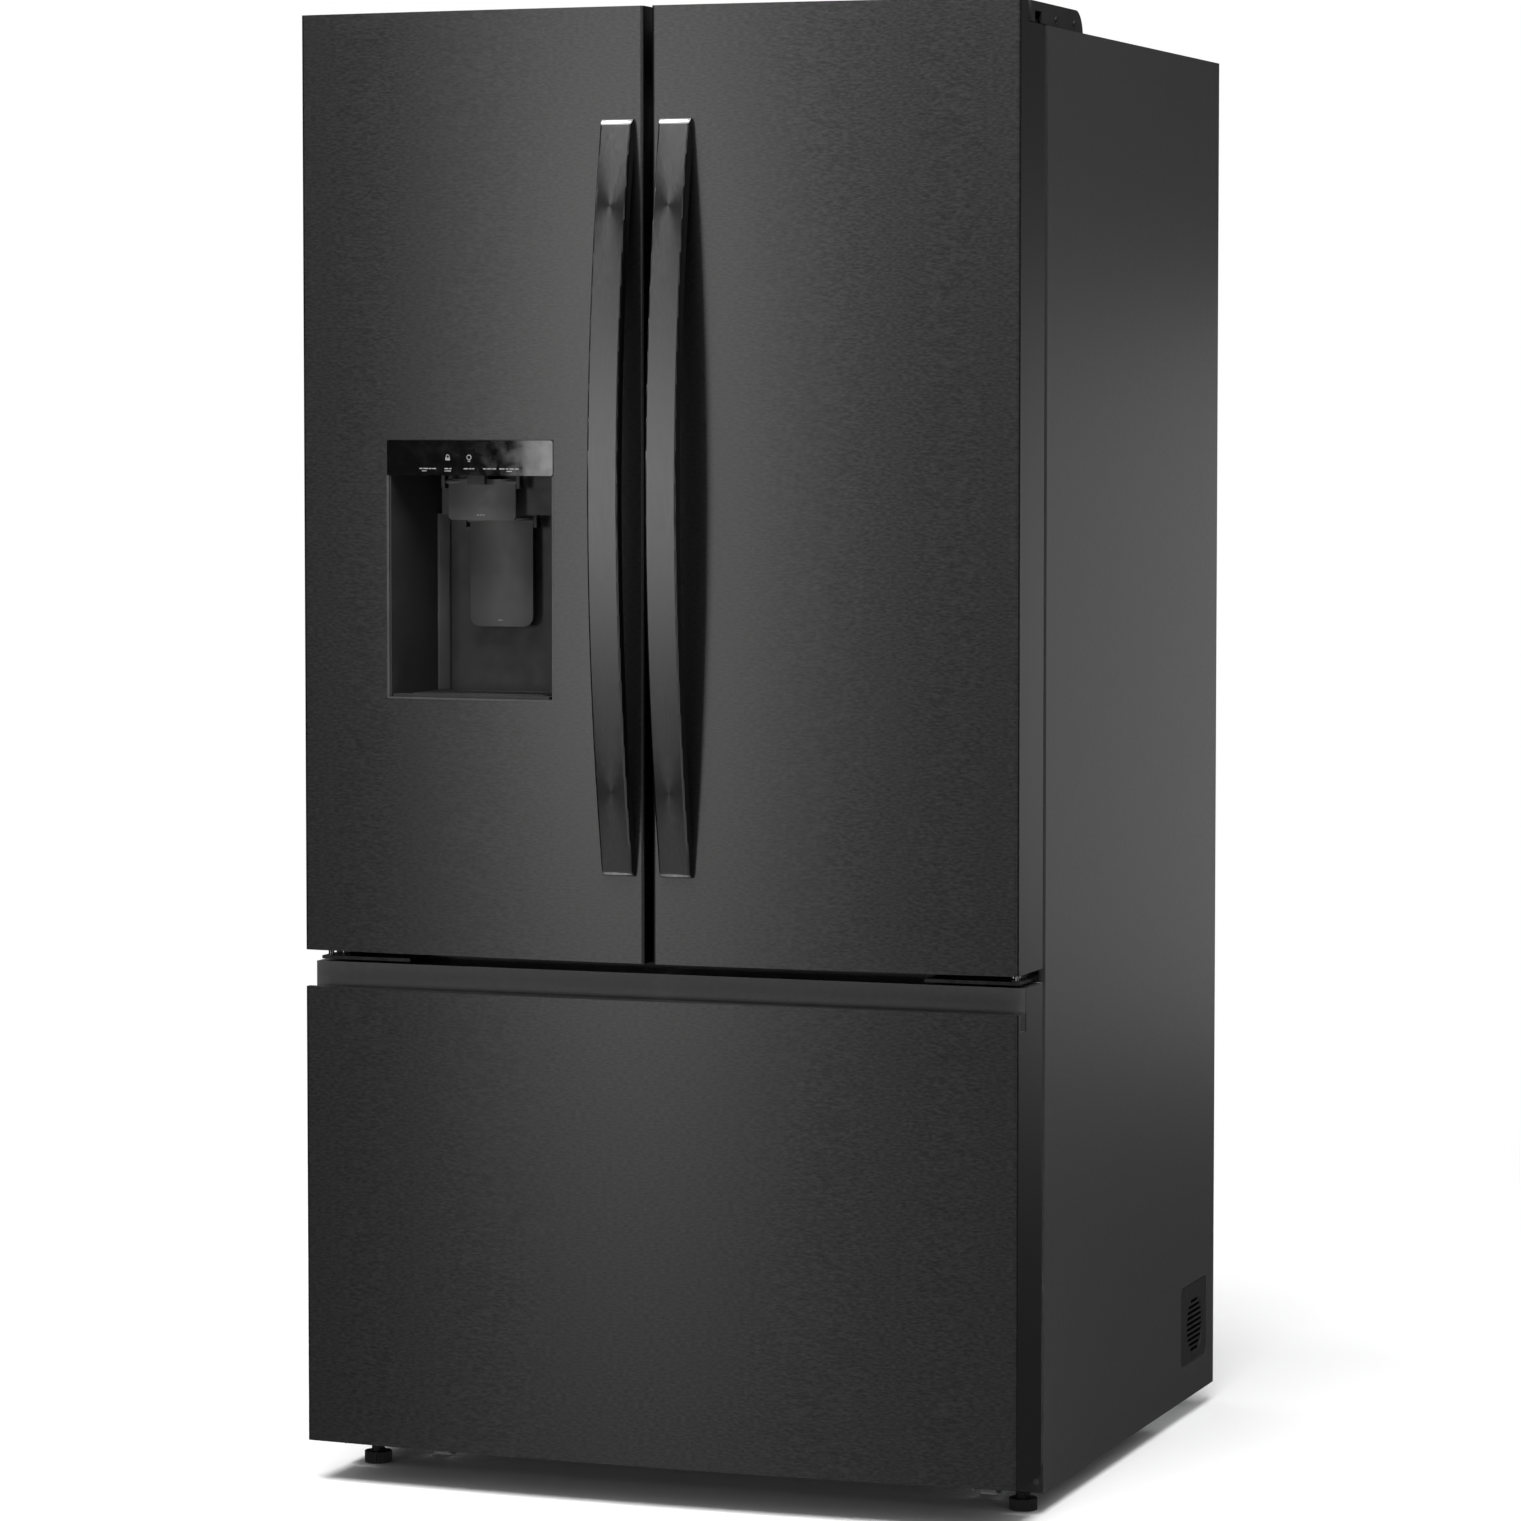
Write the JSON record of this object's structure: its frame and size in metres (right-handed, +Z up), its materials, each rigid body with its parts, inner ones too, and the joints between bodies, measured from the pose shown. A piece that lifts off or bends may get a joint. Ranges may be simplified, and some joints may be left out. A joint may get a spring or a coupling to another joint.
{
  "type": "french door refrigerator",
  "caption": "Free-standing refrigerator with paired upper doors, arched bar handles, an ice and water dispenser and a full-width freezer drawer below.",
  "frame": {"origin": "middle of the footprint's bounding box, on the floor", "axes": "+Z up, the doors face -Y, +X to the right of a person facing the doors"},
  "size_m": [0.905, 0.9519, 1.781],
  "materials": {
    "black_stainless": "satin",
    "dark_paint": "satin",
    "zinc_steel": "satin",
    "chrome": "polished",
    "insulation": "matte",
    "white_liner": "gloss",
    "black_plastic": "matte",
    "dispenser_plastic": "satin",
    "gloss_black": "gloss",
    "gasket_rubber": "matte",
    "mount_rubber": "matte",
    "shelf_glass": "gloss",
    "clear_plastic": "gloss",
    "grey_plastic": "satin",
    "compressor_paint": "satin",
    "fin_aluminium": "satin",
    "black_tube": "satin",
    "roller_nylon": "satin"
  },
  "bodies": {
    "cabinet": {"outer_wrapper": "dark_paint", "back_panel": "zinc_steel", "cabinet_foam": "insulation", "fridge_liner": "white_liner", "freezer_liner": "white_liner", "base_frame": "black_tube", "roller_brackets": "zinc_steel", "machine_base": "zinc_steel", "compressor": "compressor_paint", "compressor_mounts": "mount_rubber", "condenser_coil": "black_tube", "fan_shroud": "grey_plastic", "drain_pan": "black_plastic", "rear_cover": "black_plastic", "side_vent": "black_plastic", "water_valve": "grey_plastic", "cord_gland": "black_plastic", "evaporator_coil": "fin_aluminium", "air_covers": "white_liner", "shelf_supports": "grey_plastic", "glass_shelves": "shelf_glass", "crisper_cover": "grey_plastic", "hinge_covers": "black_plastic", "hinges": "chrome", "screws": "chrome", "drawer_tracks": "zinc_steel"},
    "left_door": {"left_door_skin": "black_stainless", "left_door_foam": "insulation", "left_door_caps": "black_plastic", "left_door_liner": "white_liner", "left_door_gasket": "gasket_rubber", "left_handle": "black_stainless", "dispenser_housing": "dispenser_plastic", "control_panel": "gloss_black", "ice_box": "white_liner"},
    "right_door": {"right_door_skin": "black_stainless", "right_door_foam": "insulation", "right_door_caps": "black_plastic", "right_door_liner": "white_liner", "right_door_gasket": "gasket_rubber", "right_handle": "black_stainless", "right_door_bins": "clear_plastic"},
    "freezer_drawer": {"drawer_skin": "black_stainless", "drawer_grip": "dark_paint", "drawer_foam": "insulation", "drawer_liner": "white_liner", "drawer_gasket": "gasket_rubber", "drawer_slides": "zinc_steel", "freezer_basket": "clear_plastic"},
    "mullion_flap": {"mullion_flap": "grey_plastic"},
    "water_paddle": {"water_paddle": "dispenser_plastic"},
    "ice_paddle": {"ice_paddle": "dispenser_plastic"},
    "left_crisper": {"left_crisper": "clear_plastic"},
    "right_crisper": {"right_crisper": "clear_plastic"},
    "front_left_roller": {"front_left_roller": "roller_nylon"},
    "front_right_roller": {"front_right_roller": "roller_nylon"},
    "rear_rollers": {"rear_rollers": "roller_nylon"},
    "left_leg": {"left_leg": "black_plastic"},
    "right_leg": {"right_leg": "black_plastic"},
    "condenser_fan": {"condenser_fan": "black_plastic"}
  },
  "joints": [
    {"name": "left_door_hinge", "type": "hinge", "parent": "cabinet", "child": "left_door", "pos_m": [-0.43, -0.335, 0.652], "axis": [0, 0, -1], "range_deg": [0, 120]},
    {"name": "right_door_hinge", "type": "hinge", "parent": "cabinet", "child": "right_door", "pos_m": [0.43, -0.335, 0.652], "axis": [0, 0, 1], "range_deg": [0, 120]},
    {"name": "freezer_drawer_slide", "type": "slide", "parent": "cabinet", "child": "freezer_drawer", "axis": [0, -1, 0], "range_m": [0, 0.4]},
    {"name": "mullion_flap_fold", "type": "hinge", "parent": "left_door", "child": "mullion_flap", "pos_m": [-0.025, -0.287, 1.2], "axis": [0, 0, -1], "range_deg": [0, 90]},
    {"name": "water_paddle_press", "type": "hinge", "parent": "left_door", "child": "water_paddle", "pos_m": [-0.228, -0.381, 1.221], "axis": [1, 0, 0], "range_deg": [0, 10], "stiffness_Nm_per_rad": 0.4, "springref_deg": -3.44},
    {"name": "ice_paddle_press", "type": "hinge", "parent": "left_door", "child": "ice_paddle", "pos_m": [-0.228, -0.321, 1.173], "axis": [1, 0, 0], "range_deg": [0, 5], "stiffness_Nm_per_rad": 0.8, "springref_deg": -3.44},
    {"name": "left_crisper_slide", "type": "slide", "parent": "cabinet", "child": "left_crisper", "axis": [0, -1, 0], "range_m": [0, 0.11]},
    {"name": "right_crisper_slide", "type": "slide", "parent": "cabinet", "child": "right_crisper", "axis": [0, -1, 0], "range_m": [0, 0.11]},
    {"name": "front_left_roller_spin", "type": "hinge", "parent": "cabinet", "child": "front_left_roller", "pos_m": [-0.357, -0.2, 0.02], "axis": [1, 0, 0], "continuous": true},
    {"name": "front_right_roller_spin", "type": "hinge", "parent": "cabinet", "child": "front_right_roller", "pos_m": [0.357, -0.2, 0.02], "axis": [1, 0, 0], "continuous": true},
    {"name": "rear_rollers_spin", "type": "hinge", "parent": "cabinet", "child": "rear_rollers", "pos_m": [0, 0.44, 0.02], "axis": [1, 0, 0], "continuous": true},
    {"name": "left_leg_turn", "type": "hinge", "parent": "cabinet", "child": "left_leg", "pos_m": [-0.419, -0.269, 0], "axis": [0, 0, 1], "continuous": true},
    {"name": "right_leg_turn", "type": "hinge", "parent": "cabinet", "child": "right_leg", "pos_m": [0.419, -0.269, 0], "axis": [0, 0, 1], "continuous": true},
    {"name": "condenser_fan_spin", "type": "hinge", "parent": "cabinet", "child": "condenser_fan", "pos_m": [-0.102, 0.355, 0.15], "axis": [1, 0, 0], "continuous": true}
  ]
}
